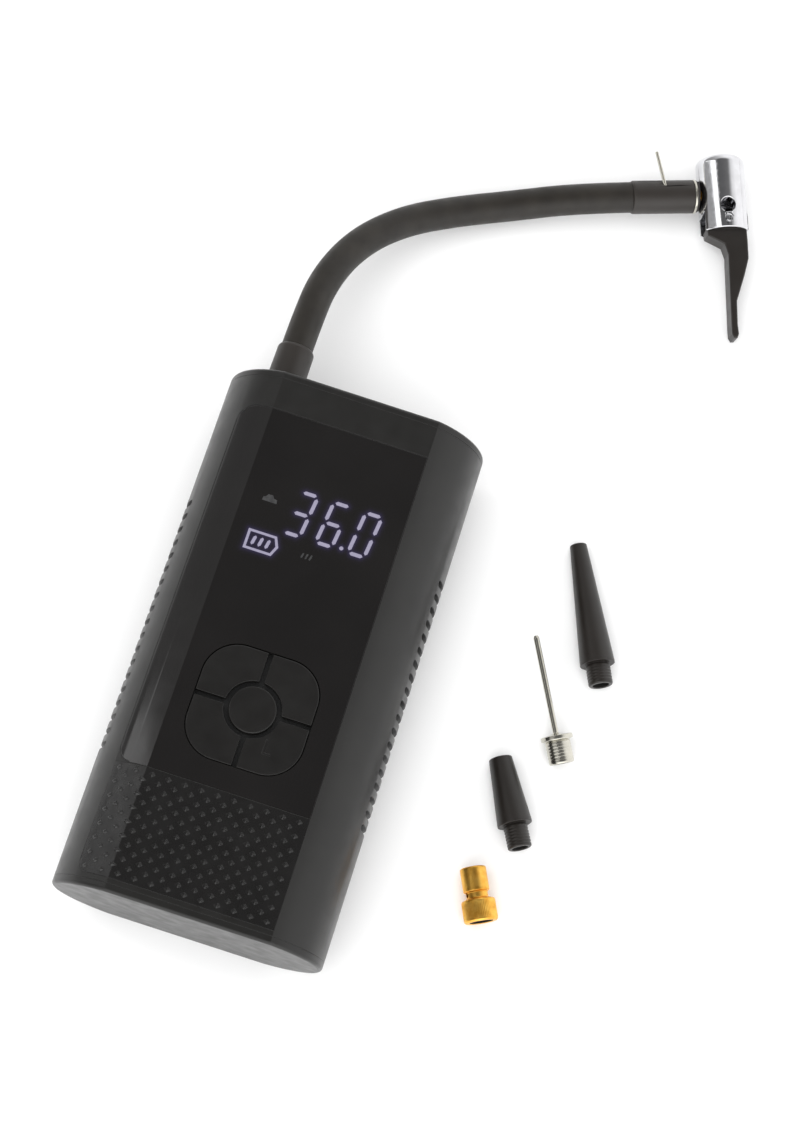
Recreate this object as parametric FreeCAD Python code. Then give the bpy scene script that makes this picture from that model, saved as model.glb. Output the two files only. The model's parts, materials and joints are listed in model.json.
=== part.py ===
"""Portable tire inflator: handheld pump with a hose, a clip-on lever chuck and four loose nozzles.

Millimetres.  The inflator lies on its back: +X is its width, +Y runs towards the hose end,
+Z points out of the display face.  The origin is the middle of the back, on the floor.
"""
import FreeCAD, Part
import math
import os

V = FreeCAD.Vector
X_AXIS = V(1, 0, 0)
Y_AXIS = V(0, 1, 0)
Z_AXIS = V(0, 0, 1)

# ---- driving dimensions -------------------------------------------------------------------
# housing
HALF_WIDTH = 42.0
THICKNESS = 46.0
LENGTH = 169.0
FLAT_HALF = 25.0          # half width of the flat front, up to the crease beside each flank
WALL = 2.2
BACK_SPLIT_Z = 11.0
CAP_THICKNESS = 2.5
END_ROUNDING = 1.2

# gloss front panel and grip pad
PANEL_THICKNESS = 1.2
PANEL_LEFT_X = -34.8
PANEL_TOP_Y = 71.7
PANEL_BOTTOM_Y = -46.2
GRIP_TOP_Y = -46.5
GRIP_BOTTOM_Y = -80.4
GRIP_PITCH_X = 5.0
GRIP_ROW_PITCH = 2.17
GRIP_ROWS = 15
GRIP_STUD_HEIGHT = 0.55

# display
WINDOW = (-22.6, 20.6, 24.0, 52.0)      # x0, x1, y0, y1
DIGIT_HEIGHT = 13.8                     # between the middles of the top and bottom bars
DIGIT_WIDTH = 5.1                       # between the middles of the side bars
DIGIT_PITCH = 10.2
DIGIT_SLANT = math.tan(math.radians(6.0))
BAR_WIDTH = 1.15
LIGHT_PROUD = 0.03
LIGHT_DEPTH = 0.25

# keypad
PAD_X = -1.2
PAD_Y = -20.5
PAD_HALF = 18.0
PAD_CORNER = 11.0
PAD_SLOT = 1.6
CENTRE_BUTTON_R = 7.2
PAD_RING_R = 8.7
BUTTON_TRAVEL = 0.6
BUTTON_BOTTOM_Z = 44.0
CARRIER_TOP_Z = 43.2
CARRIER_BOTTOM_Z = 41.8
BOARD_TOP_Z = 36.0
SWITCH_HEIGHT = 3.0

# side vents
VENT_COUNT = 19
VENT_PITCH = 4.44
VENT_FIRST_Y = -41.1
VENT_LOW_Z = 13.5
VENT_HIGH_Z = 32.5
VENT_WIDTH = 2.0

# pump
MOTOR_X = -16.0
PUMP_Z = 18.5
MOTOR_R = 13.85
MOTOR_Y0 = -4.0
MOTOR_Y1 = 32.0
GEAR_MODULE = 0.6
PINION_TEETH = 11
GEAR_TEETH = 39
GEAR_Y0 = 35.7
GEAR_Y1 = 40.3
CRANK_THROW = 6.0
ROD_LENGTH = 24.0
ROD_Y0 = 43.5
ROD_Y1 = 47.5
BORE_R = 7.5
CYLINDER_R = 10.0

# hose and chuck
HOSE_R = 5.15
HOSE_EXIT_X = -25.8
HOSE_EXIT_Z = 23.0
COLLAR_R = 6.1
COLLAR_LENGTH = 17.0
CHUCK_HEADING = 20.5      # degrees from +X, the way the hose enters the chuck
CHUCK_TILT = 7.5          # degrees the valve end is raised, lever tip and foot on the floor
SLEEVE_R = 5.6
BARREL_R = 8.25
BARREL_LENGTH = 26.0
NIPPLE_LEVEL = 13.1       # hose axis above the barrel's lever end
VALVE_BORE_R = 3.95

CENTRE_DISTANCE = GEAR_MODULE * (PINION_TEETH + GEAR_TEETH) / 2
GEAR_X = MOTOR_X + CENTRE_DISTANCE
CYLINDER_Y = (ROD_Y0 + ROD_Y1) / 2
CRANK_PIN_X = GEAR_X + CRANK_THROW
WRIST_X = CRANK_PIN_X + ROD_LENGTH
MID_Z = THICKNESS / 2
FLANK_R = ((HALF_WIDTH - FLAT_HALF) ** 2 + MID_Z ** 2) / (2 * (HALF_WIDTH - FLAT_HALF))
FLANK_X = HALF_WIDTH - FLANK_R
HALF_LENGTH = LENGTH / 2
SHELL_HALF = HALF_LENGTH - CAP_THICKNESS

# free hose: corners of its route from the collar to the crimp sleeve
HOSE_ROUTE = [
    V(-25.8, 101.5, 23.0),
    V(-25.8, 110.7, 23.0),
    V(-25.1, 128.5, 21.2),
    V(-19.0, 146.3, 17.0),
    V(-7.5, 161.0, 12.4),
    V(8.2, 172.3, 8.6),
    V(25.8, 181.6, 7.1),
    V(44.9, 189.9, 9.8),
    V(62.8, 196.6, 10.2),
]

os.makedirs("parts", exist_ok=True)


# ---- helpers ------------------------------------------------------------------------------
def save(name, shape):
    """Write one node; a compound keeps its solids separate."""
    shape.exportStep("parts/" + name + ".step")


def box(x0, x1, y0, y1, z0, z1):
    return Part.makeBox(x1 - x0, y1 - y0, z1 - z0, V(x0, y0, z0))


def cyl_x(r, x0, x1, y, z):
    return Part.makeCylinder(r, x1 - x0, V(x0, y, z), X_AXIS)


def cyl_y(r, y0, y1, x, z):
    return Part.makeCylinder(r, y1 - y0, V(x, y0, z), Y_AXIS)


def cyl_z(r, z0, z1, x, y):
    return Part.makeCylinder(r, z1 - z0, V(x, y, z0), Z_AXIS)


def tube_y(r_out, r_in, y0, y1, x, z):
    return cyl_y(r_out, y0, y1, x, z).cut(cyl_y(r_in, y0 - 1, y1 + 1, x, z))


def flank_edge(inset):
    """Half width of the flat front of the housing section drawn in by inset."""
    return FLANK_X + math.sqrt((FLANK_R - inset) ** 2 - (MID_Z - inset) ** 2)


def prism(inset, y0, y1):
    """The housing section drawn in by inset: flat front and back, arcs for the flanks."""
    flat = flank_edge(inset)
    side = HALF_WIDTH - inset
    low = inset
    high = THICKNESS - inset
    corners = [V(-flat, y0, high), V(flat, y0, high), V(flat, y0, low), V(-flat, y0, low)]
    wire = Part.Wire([
        Part.makeLine(corners[0], corners[1]),
        Part.Arc(corners[1], V(side, y0, MID_Z), corners[2]).toShape(),
        Part.makeLine(corners[2], corners[3]),
        Part.Arc(corners[3], V(-side, y0, MID_Z), corners[0]).toShape(),
    ])
    return Part.Face(wire).extrude(V(0, y1 - y0, 0))


def rounded_plate(x0, x1, y0, y1, z0, z1, radii):
    """Upright prism on a rectangle; radii are for the corners x0y0, x1y0, x1y1, x0y1."""
    shape = box(x0, x1, y0, y1, z0, z1)
    places = [(x0, y0), (x1, y0), (x1, y1), (x0, y1)]
    for (px, py), radius in zip(places, radii):
        if radius > 0:
            edges = [e for e in shape.Edges
                     if abs(e.BoundBox.XLength) < 1e-6 and abs(e.BoundBox.YLength) < 1e-6
                     and abs(e.BoundBox.XMin - px) < 1e-6 and abs(e.BoundBox.YMin - py) < 1e-6]
            shape = shape.makeFillet(radius, edges)
    return shape


def skin(depth, outline):
    """Outer layer of the housing, as thick as depth, inside an upright outline."""
    layer = prism(0, -HALF_LENGTH, HALF_LENGTH).cut(prism(depth, -HALF_LENGTH - 1, HALF_LENGTH + 1))
    return layer.common(outline)


def revolve(profile, origin, direction):
    """Turn (radius, distance) points about an axis through origin."""
    points = [V(r, 0, s) for r, s in profile]
    points.append(points[0])
    solid = Part.Face(Part.makePolygon(points)).revolve(V(0, 0, 0), Z_AXIS, 360)
    solid.Placement = FreeCAD.Placement(origin, FreeCAD.Rotation(Z_AXIS, direction))
    return solid


def extrude_outline(points, z0, z1):
    """Upright prism on an outline of straight edges."""
    closed = [V(x, y, z0) for x, y in points]
    closed.append(closed[0])
    return Part.Face(Part.makePolygon(closed)).extrude(V(0, 0, z1 - z0))


# ---- panel, grip and display ----------------------------------------------------------------
panel_outline = rounded_plate(PANEL_LEFT_X, FLAT_HALF, PANEL_BOTTOM_Y, PANEL_TOP_Y,
                              30, 60, (5.0, 0, 0, 5.0))
grip_outline = rounded_plate(PANEL_LEFT_X, FLAT_HALF, GRIP_BOTTOM_Y, GRIP_TOP_Y,
                             30, 60, (3.0, 0, 0, 0))
pad_hole = rounded_plate(PAD_X - PAD_HALF - 0.2, PAD_X + PAD_HALF + 0.2,
                         PAD_Y - PAD_HALF - 0.2, PAD_Y + PAD_HALF + 0.2,
                         CARRIER_TOP_Z, 60, (PAD_CORNER + 0.2,) * 4)
window_outline = rounded_plate(*WINDOW, THICKNESS - PANEL_THICKNESS, THICKNESS, (1.5,) * 4)


def bar(x, y, half_x, half_y, slant_x=0.0):
    """One glowing bar of the display, leaning by slant_x towards its top."""
    z0 = THICKNESS + LIGHT_PROUD - LIGHT_DEPTH
    tip = min(half_x, half_y)
    if half_x > half_y:
        outline = [(x - half_x, y), (x - half_x + tip, y + tip), (x + half_x - tip, y + tip),
                   (x + half_x, y), (x + half_x - tip, y - tip), (x - half_x + tip, y - tip)]
    else:
        outline = [(x, y - half_y), (x + tip, y - half_y + tip), (x + tip, y + half_y - tip),
                   (x, y + half_y), (x - tip, y + half_y - tip), (x - tip, y - half_y + tip)]
    leaning = [(px + (py - y) * slant_x, py) for px, py in outline]
    return extrude_outline(leaning, z0, THICKNESS + LIGHT_PROUD)


def digit(centre_x, centre_y, lit):
    """Seven-bar numeral; lit names the bars a to g that glow."""
    h = DIGIT_HEIGHT / 2
    w = DIGIT_WIDTH / 2
    across = w - 0.45
    upright = h / 2 - 0.75
    places = {
        "a": (0, h, across, BAR_WIDTH / 2), "g": (0, 0, across, BAR_WIDTH / 2),
        "d": (0, -h, across, BAR_WIDTH / 2),
        "b": (w, h / 2, BAR_WIDTH / 2, upright), "c": (w, -h / 2, BAR_WIDTH / 2, upright),
        "f": (-w, h / 2, BAR_WIDTH / 2, upright), "e": (-w, -h / 2, BAR_WIDTH / 2, upright),
    }
    bars = []
    for name in lit:
        dx, dy, half_x, half_y = places[name]
        bars.append(bar(centre_x + dx + dy * DIGIT_SLANT, centre_y + dy, half_x, half_y, DIGIT_SLANT))
    return bars


DIGIT_Y = 41.6
DIGIT_X = -6.3
digit_bars = digit(DIGIT_X, DIGIT_Y, "abcdg")
digit_bars += digit(DIGIT_X + DIGIT_PITCH, DIGIT_Y, "acdefg")
digit_bars += digit(DIGIT_X + 2 * DIGIT_PITCH, DIGIT_Y, "abcdef")
digit_bars.append(cyl_z(0.62, THICKNESS + LIGHT_PROUD - LIGHT_DEPTH, THICKNESS + LIGHT_PROUD,
                        8.55, DIGIT_Y - 6.3))


def battery_icon(x, y):
    """Charge symbol: a rim with a pointed end and three leaning bars."""
    z0 = THICKNESS + LIGHT_PROUD - LIGHT_DEPTH
    z1 = THICKNESS + LIGHT_PROUD
    rim = [(-5.2, -3.2), (3.7, -3.2), (5.1, 0), (3.7, 3.2), (-5.2, 3.2)]
    hollow = [(-4.4, -2.45), (3.2, -2.45), (4.2, 0), (3.2, 2.45), (-4.4, 2.45)]
    outer = extrude_outline([(x + a, y + b) for a, b in rim], z0, z1)
    inner = extrude_outline([(x + a, y + b) for a, b in hollow], z0 - 1, z1 + 1)
    cells = [bar(x - 2.7 + step * 2.2, y, 0.5, 1.55, 0.18) for step in range(3)]
    return [outer.cut(inner)] + cells


def dim_icons():
    """Two faint symbols: a small vehicle above the charge symbol and a unit mark."""
    z0 = THICKNESS + LIGHT_PROUD - LIGHT_DEPTH
    z1 = THICKNESS + LIGHT_PROUD
    car_x, car_y = -16.6, 43.2
    body = [(-2.3, -0.9), (2.3, -0.9), (2.1, 0.3), (1.1, 0.5), (0.5, 1.4), (-0.9, 1.4),
            (-1.5, 0.5), (-2.2, 0.2)]
    shapes = [extrude_outline([(car_x + a, car_y + b) for a, b in body], z0, z1)]
    mark_x, mark_y = -0.6, 29.4
    for step in range(3):
        shapes.append(bar(mark_x - 1.3 + 1.3 * step, mark_y, 0.28, 0.95, 0.2))
    return shapes


icon_shapes = battery_icon(-14.6, 29.3)
dim_shapes = dim_icons()
lights = Part.makeCompound(digit_bars + icon_shapes + dim_shapes)

panel = skin(PANEL_THICKNESS, panel_outline).cut(pad_hole).cut(window_outline)
window = window_outline.cut(lights)
save("front_panel", panel)
save("display_window", window)
save("display_digits", Part.makeCompound(digit_bars))
save("display_battery_icon", Part.makeCompound(icon_shapes))
save("display_dim_icons", Part.makeCompound(dim_shapes))


def grip_pad():
    """Thin cover with staggered rows of four-sided studs, following the section's left flank."""
    pad = skin(PANEL_THICKNESS, grip_outline)
    studs = []
    first_y = GRIP_TOP_Y - 1.7
    for row in range(GRIP_ROWS):
        y = first_y - row * GRIP_ROW_PITCH
        shift = 0.5 * GRIP_PITCH_X * (row % 2)
        x = 22.2 - shift
        while x > PANEL_LEFT_X + 1.2:
            studs.append(stud(x, y))
            x -= GRIP_PITCH_X
    return pad.fuse(Part.makeCompound(studs).Solids)


def stud(x, y):
    """One low stud: a four-sided pyramid with its point cut off, square to the skin."""
    lean = 0.0
    foot_z = THICKNESS
    if x < -FLAT_HALF:
        lean = -math.degrees(math.asin((-x - FLANK_X) / FLANK_R))
        foot_z = MID_Z + math.sqrt(FLANK_R ** 2 - (-x - FLANK_X) ** 2)
    half_x, half_y = 1.5, 1.15
    top = 0.22
    sink = 0.35
    height = GRIP_STUD_HEIGHT
    lower = Part.makePolygon([V(half_x, 0, -sink), V(0, half_y, -sink), V(-half_x, 0, -sink),
                              V(0, -half_y, -sink), V(half_x, 0, -sink)])
    upper = Part.makePolygon([V(half_x * top, 0, height), V(0, half_y * top, height),
                              V(-half_x * top, 0, height), V(0, -half_y * top, height),
                              V(half_x * top, 0, height)])
    solid = Part.makeLoft([lower, upper], True, True)
    solid.Placement = FreeCAD.Placement(V(x, y, foot_z), FreeCAD.Rotation(Y_AXIS, lean))
    return solid


save("grip_pad", grip_pad())

# ---- keypad -----------------------------------------------------------------------------------
pad_block = rounded_plate(PAD_X - PAD_HALF, PAD_X + PAD_HALF, PAD_Y - PAD_HALF, PAD_Y + PAD_HALF,
                          BUTTON_BOTTOM_Z, THICKNESS, (PAD_CORNER,) * 4)
pad_block = pad_block.makeChamfer(0.3, [e for e in pad_block.Edges
                                        if e.BoundBox.ZMin > THICKNESS - 1e-6])
STEM_OFFSET = 9.6
STEM_BOTTOM_Z = BOARD_TOP_Z + SWITCH_HEIGHT + BUTTON_TRAVEL + 0.3


def stem(x, y):
    """Post that reaches a switch, with a snap ring under the carrier."""
    post = cyl_z(1.5, STEM_BOTTOM_Z, BUTTON_BOTTOM_Z + 0.5, x, y)
    ring = cyl_z(2.1, CARRIER_BOTTOM_Z - 0.9, CARRIER_BOTTOM_Z - 0.3, x, y)
    return post.fuse(ring)


button_places = {"centre_button": (PAD_X, PAD_Y)}
ring_hole = cyl_z(PAD_RING_R, 40, 50, PAD_X, PAD_Y)
for row_name, side_y in (("upper", 1), ("lower", -1)):
    for side_name, side_x in (("left", -1), ("right", 1)):
        reach = 30
        gap = PAD_SLOT / 2
        xs = sorted((PAD_X + side_x * gap, PAD_X + side_x * reach))
        ys = sorted((PAD_Y + side_y * gap, PAD_Y + side_y * reach))
        quarter = pad_block.common(box(xs[0], xs[1], ys[0], ys[1], 40, 50)).cut(ring_hole)
        place = (PAD_X + side_x * STEM_OFFSET, PAD_Y + side_y * STEM_OFFSET)
        if (row_name, side_name) == ("lower", "right"):
            mark = box(PAD_X + 6.6, PAD_X + 7.2, PAD_Y - 11.2, PAD_Y - 7.4,
                       THICKNESS - 0.15, THICKNESS + 1)
            foot = box(PAD_X + 6.6, PAD_X + 9.2, PAD_Y - 11.8, PAD_Y - 11.2,
                       THICKNESS - 0.15, THICKNESS + 1)
            quarter = quarter.cut(mark).cut(foot)
        name = row_name + "_" + side_name + "_button"
        button_places[name] = place
        save(name, quarter.fuse(stem(*place)))

centre_button = cyl_z(CENTRE_BUTTON_R, BUTTON_BOTTOM_Z, THICKNESS, PAD_X, PAD_Y)
centre_button = centre_button.makeChamfer(0.3, [e for e in centre_button.Edges
                                                if e.BoundBox.ZMin > THICKNESS - 1e-6])
save("centre_button", centre_button.fuse(stem(PAD_X, PAD_Y)))

carrier = rounded_plate(PAD_X - 20, PAD_X + 20, PAD_Y - 20, PAD_Y + 20,
                        CARRIER_BOTTOM_Z, CARRIER_TOP_Z, (12,) * 4)
carrier_rim = rounded_plate(PAD_X - 20, PAD_X + 20, PAD_Y - 20, PAD_Y + 20,
                            CARRIER_TOP_Z, THICKNESS - WALL, (12,) * 4)
carrier = carrier.fuse(carrier_rim.cut(pad_hole))
switches = []
for x, y in button_places.values():
    carrier = carrier.cut(cyl_z(1.75, 40, 44, x, y))
    body = box(x - 3, x + 3, y - 3, y + 3, BOARD_TOP_Z, BOARD_TOP_Z + SWITCH_HEIGHT - 0.8)
    switches.append(body.fuse(cyl_z(1.7, BOARD_TOP_Z + 1, BOARD_TOP_Z + SWITCH_HEIGHT, x, y)))
save("keypad_carrier", carrier)
save("tact_switches", Part.makeCompound(switches))

# ---- housing ------------------------------------------------------------------------------------
SCREW_PLACES = [(-27, -70), (27, -70), (27, 8), (-27, 58)]
shell = prism(0, -SHELL_HALF, SHELL_HALF).cut(prism(WALL, -SHELL_HALF - 1, SHELL_HALF + 1))
below_split = box(-60, 60, -100, 100, -10, BACK_SPLIT_Z)


def vent_cutters():
    """Upright slots through both flanks, rounded at their ends."""
    cutters = []
    half = VENT_WIDTH / 2
    for index in range(VENT_COUNT):
        y = VENT_FIRST_Y + index * VENT_PITCH
        for x0, x1 in ((30, 45), (-45, -30)):
            slot = box(x0, x1, y - half, y + half, VENT_LOW_Z + half, VENT_HIGH_Z - half)
            low_end = cyl_x(half, x0, x1, y, VENT_LOW_Z + half)
            high_end = cyl_x(half, x0, x1, y, VENT_HIGH_Z - half)
            cutters.append(slot.fuse([low_end, high_end]).removeSplitter())
    return cutters


def front_shell():
    """Upper shell with the panel recess, key and display openings, vents and screw bosses."""
    body = shell.cut(below_split)
    body = body.cut(skin(PANEL_THICKNESS, panel_outline)).cut(skin(PANEL_THICKNESS, grip_outline))
    key_hole = pad_hole.copy()
    key_hole.translate(V(0, 0, -2))
    body = body.cut(key_hole)
    body = body.cut(box(WINDOW[0] + 1.5, WINDOW[1] - 1.5, WINDOW[2] + 1.5, WINDOW[3] - 1.5, 40, 50))
    body = body.cut(Part.makeCompound(vent_cutters()))
    bosses = []
    for x, y in SCREW_PLACES:
        boss = cyl_z(3.2, 6.2, THICKNESS - WALL + 0.2, x, y)
        boss = boss.fuse(cyl_z(4.6, BOARD_TOP_Z, THICKNESS - WALL + 0.2, x, y))
        bosses.append(boss.cut(cyl_z(1.2, 6, 22, x, y)).common(prism(PANEL_THICKNESS + 0.3, -90, 90)))
    return body.fuse(bosses)


def back_shell():
    """Shallow rear tray with four countersunk screw pillars."""
    body = shell.common(below_split)
    for x, y in SCREW_PLACES:
        body = body.fuse(cyl_z(3.2, 1, 6, x, y).common(prism(WALL / 2, -90, 90)))
        body = body.cut(cyl_z(1.6, -1, 7, x, y))
        body = body.cut(Part.makeCone(3.4, 1.6, 1.9, V(x, y, 0), Z_AXIS))
    return body


front = front_shell()
save("front_shell", front)
save("back_shell", back_shell())

screws = []
for x, y in SCREW_PLACES:
    head = Part.makeCone(3.2, 1.5, 1.8, V(x, y, 0.15), Z_AXIS)
    head = head.cut(box(x - 1.8, x + 1.8, y - 0.35, y + 0.35, 0, 0.9))
    head = head.cut(box(x - 0.35, x + 0.35, y - 1.8, y + 1.8, 0, 0.9))
    screws.append(head.fuse(cyl_z(1.15, 1.5, 18, x, y)))
save("back_screws", Part.makeCompound(screws))


def end_cap(y_outer, y_inner):
    """Flush end plate with a rounded rim and a locating lip inside the shells."""
    low, high = sorted((y_outer, y_inner))
    plate = prism(0, low, high)
    rim = [e for e in plate.Edges
           if e.BoundBox.YLength < 1e-6 and abs(e.BoundBox.YMin - y_outer) < 1e-6]
    plate = plate.makeFillet(END_ROUNDING, rim)
    inward = math.copysign(3.0, -y_outer)
    lip_low, lip_high = sorted((y_inner, y_inner + inward))
    lip = prism(WALL + 0.05, lip_low, lip_high).cut(prism(WALL + 1.4, lip_low - 1, lip_high + 1))
    return plate.fuse(lip)


PORT_X = 14.0
PORT_Z = 33.0
PORT_HALF_W = 4.47
PORT_HALF_H = 1.63
BARB_R = 2.9


def stadium_y(half_w, half_h, y0, y1, x, z):
    """Flat-sided slot shape along Y."""
    middle = box(x - half_w + half_h, x + half_w - half_h, y0, y1, z - half_h, z + half_h)
    left = cyl_y(half_h, y0, y1, x - half_w + half_h, z)
    right = cyl_y(half_h, y0, y1, x + half_w - half_h, z)
    return middle.fuse([left, right]).removeSplitter()


save("bottom_cap", end_cap(-HALF_LENGTH, -SHELL_HALF))
top_cap = end_cap(HALF_LENGTH, SHELL_HALF)
top_cap = top_cap.cut(cyl_y(BARB_R, 70, 90, HOSE_EXIT_X, HOSE_EXIT_Z))
top_cap = top_cap.cut(stadium_y(PORT_HALF_W + 0.35, PORT_HALF_H + 0.35, 70, 90, PORT_X, PORT_Z))
CHARGE_BOARD_Z = PORT_Z - PORT_HALF_H - 1.6
top_cap = top_cap.fuse(box(7, 21, 72, SHELL_HALF + 0.5, CHARGE_BOARD_Z - 1.8, CHARGE_BOARD_Z))
save("top_cap", top_cap)

# ---- electronics and battery --------------------------------------------------------------------
main_board = rounded_plate(-30, 30, -45, 56, BOARD_TOP_Z - 1.6, BOARD_TOP_Z, (2,) * 4)
for x, y in SCREW_PLACES:
    main_board = main_board.cut(cyl_z(3.7, 30, 40, x, y))
save("main_board", main_board)

display_module = box(WINDOW[0] + 1, WINDOW[1] - 1, WINDOW[2] + 1, WINDOW[3] - 1,
                     BOARD_TOP_Z, THICKNESS - WALL - 0.2)
save("display_module", display_module)

save("charge_board", box(5, 23, 62, 78, CHARGE_BOARD_Z, PORT_Z - PORT_HALF_H))
port = stadium_y(PORT_HALF_W, PORT_HALF_H, 77.0, 84.3, PORT_X, PORT_Z)
port = port.cut(stadium_y(PORT_HALF_W - 0.35, PORT_HALF_H - 0.35, 78.0, 90, PORT_X, PORT_Z))
port = port.fuse(box(PORT_X - 3.2, PORT_X + 3.2, 77.5, 83.2, PORT_Z - 0.35, PORT_Z + 0.35))
save("usb_port", port)

CELL_R = 9.2
CELL_Y0 = -76.5
CELL_Y1 = -11.5
CELL_Z = 13.4
cell_xs = (-9.6, 9.6)
tray = box(-22, 22, CELL_Y0, CELL_Y1, WALL, 9.5)
for number, x in enumerate(cell_xs, 1):
    cell = cyl_y(CELL_R, CELL_Y0, CELL_Y1 - 1.0, x, CELL_Z)
    nub = cyl_y(3.0, CELL_Y1 - 1.0, CELL_Y1 - 0.3, x, CELL_Z)
    save("battery_cell_" + str(number), cell.fuse(nub))
    tray = tray.cut(cyl_y(CELL_R + 0.1, -100, 0, x, CELL_Z))
save("battery_tray", tray)
strips = [box(-14, 14, CELL_Y0 - 0.3, CELL_Y0, CELL_Z - 3.5, CELL_Z + 3.5),
          box(-14, 14, CELL_Y1 - 0.3, CELL_Y1, CELL_Z - 3.5, CELL_Z + 3.5)]
save("battery_strips", Part.makeCompound(strips))

# ---- motor and pump -------------------------------------------------------------------------------
motor_can = tube_y(MOTOR_R, MOTOR_R - 1.0, MOTOR_Y0, MOTOR_Y1, MOTOR_X, PUMP_Z)
motor_face = tube_y(MOTOR_R - 1.0, 1.2, MOTOR_Y1 - 1.5, MOTOR_Y1, MOTOR_X, PUMP_Z)
save("motor_can", motor_can.fuse(motor_face))
save("motor_end_cap", tube_y(MOTOR_R - 0.6, 1.2, MOTOR_Y0 - 4, MOTOR_Y0, MOTOR_X, PUMP_Z))
save("motor_magnets", tube_y(MOTOR_R - 1.0, 10.0, 1, 27, MOTOR_X, PUMP_Z))
rotor = tube_y(9.4, 1.15, 2, 26, MOTOR_X, PUMP_Z).fuse(tube_y(4.0, 1.15, -3, 2, MOTOR_X, PUMP_Z))
save("motor_rotor", rotor)
save("motor_shaft", cyl_y(1.15, MOTOR_Y0 - 5, 41.0, MOTOR_X, PUMP_Z))


def gear(teeth, x, y0, y1, bore_r, turn):
    """Spur gear along Y with straight-sided teeth; turn is the angle of its first tooth."""
    pitch_r = GEAR_MODULE * teeth / 2
    tip_r = pitch_r + 0.9 * GEAR_MODULE
    root_r = pitch_r - 1.25 * GEAR_MODULE
    step = 2 * math.pi / teeth
    outline = []
    for index in range(teeth):
        middle = turn + index * step
        for r, offset in ((root_r, -0.31), (tip_r, -0.12), (tip_r, 0.12), (root_r, 0.31)):
            angle = middle + offset * step
            outline.append(V(x + r * math.cos(angle), y0, PUMP_Z + r * math.sin(angle)))
    outline.append(outline[0])
    blank = Part.Face(Part.makePolygon(outline)).extrude(V(0, y1 - y0, 0))
    return blank.cut(cyl_y(bore_r, y0 - 1, y1 + 1, x, PUMP_Z))


save("pinion", gear(PINION_TEETH, MOTOR_X, GEAR_Y0 - 0.2, GEAR_Y1 + 0.2, 1.15, 0.0))
half_tooth = math.pi / GEAR_TEETH
crank_gear = gear(GEAR_TEETH, GEAR_X, GEAR_Y0, GEAR_Y1, 2.05, math.pi + half_tooth)
save("crank_gear", crank_gear.cut(cyl_y(1.5, 30, 45, CRANK_PIN_X, PUMP_Z)))
save("crank_axle", cyl_y(2.0, 32, 42.0, GEAR_X, PUMP_Z))
save("crank_pin", cyl_y(1.5, GEAR_Y0, ROD_Y0 - 0.3, CRANK_PIN_X, PUMP_Z))

rod = cyl_y(3.2, ROD_Y0, ROD_Y1, CRANK_PIN_X, PUMP_Z)
rod = rod.fuse(cyl_y(2.9, ROD_Y0, ROD_Y1, WRIST_X, PUMP_Z))
rod = rod.fuse(box(CRANK_PIN_X, WRIST_X, ROD_Y0 + 0.6, ROD_Y1 - 0.6, PUMP_Z - 1.6, PUMP_Z + 1.6))
rod = rod.cut(cyl_y(1.6, 40, 50, CRANK_PIN_X, PUMP_Z))
save("connecting_rod", rod.cut(cyl_y(1.3, 40, 50, WRIST_X, PUMP_Z)))
save("wrist_pin", cyl_y(1.25, CYLINDER_Y - 6.0, CYLINDER_Y + 6.0, WRIST_X, PUMP_Z))

piston = cyl_x(BORE_R - 0.3, WRIST_X - 4.5, WRIST_X + 5.0, CYLINDER_Y, PUMP_Z)
piston = piston.cut(box(WRIST_X - 6, WRIST_X + 3.4, ROD_Y0 - 0.3, ROD_Y1 + 0.3, PUMP_Z - 7, PUMP_Z + 7))
piston = piston.cut(cyl_y(1.25, 30, 60, WRIST_X, PUMP_Z))
RING_X = WRIST_X + 4.0
ring_groove = cyl_x(BORE_R + 1, RING_X - 1.2, RING_X, CYLINDER_Y, PUMP_Z)
ring_groove = ring_groove.cut(cyl_x(BORE_R - 1.4, RING_X - 2, RING_X + 1, CYLINDER_Y, PUMP_Z))
save("piston", piston.cut(ring_groove))
piston_ring = cyl_x(BORE_R - 0.05, RING_X - 1.2, RING_X, CYLINDER_Y, PUMP_Z)
save("piston_ring", piston_ring.cut(cyl_x(BORE_R - 1.4, 0, 60, CYLINDER_Y, PUMP_Z)))

CYLINDER_X0 = 12.0
CYLINDER_X1 = WRIST_X + 6.0
cylinder = cyl_x(CYLINDER_R, CYLINDER_X0, CYLINDER_X1, CYLINDER_Y, PUMP_Z)
for index in range(4):
    fin_x = CYLINDER_X0 + 4 + 4.5 * index
    groove = cyl_x(CYLINDER_R + 1, fin_x, fin_x + 1.6, CYLINDER_Y, PUMP_Z)
    cylinder = cylinder.cut(groove.cut(cyl_x(CYLINDER_R - 1.2, 0, 60, CYLINDER_Y, PUMP_Z)))
cylinder = cylinder.cut(cyl_x(BORE_R, 0, 60, CYLINDER_Y, PUMP_Z))
inside = prism(WALL + 0.1, -90, 90)
save("cylinder", cylinder.common(inside))

PORT_TUBE_X = 36.6
head = box(CYLINDER_X1, 40, CYLINDER_Y - 10, CYLINDER_Y + 10, 8.5, 28.5).common(inside)
outlet = cyl_y(2.2, CYLINDER_Y + 10, CYLINDER_Y + 14, PORT_TUBE_X, PUMP_Z)
save("cylinder_head", head.fuse(outlet))
sensor = box(CYLINDER_X1 - 4, CYLINDER_X1 + 2, CYLINDER_Y - 5, CYLINDER_Y + 1, 28.5, 32.3)
save("pressure_sensor", sensor.common(inside))

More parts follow.
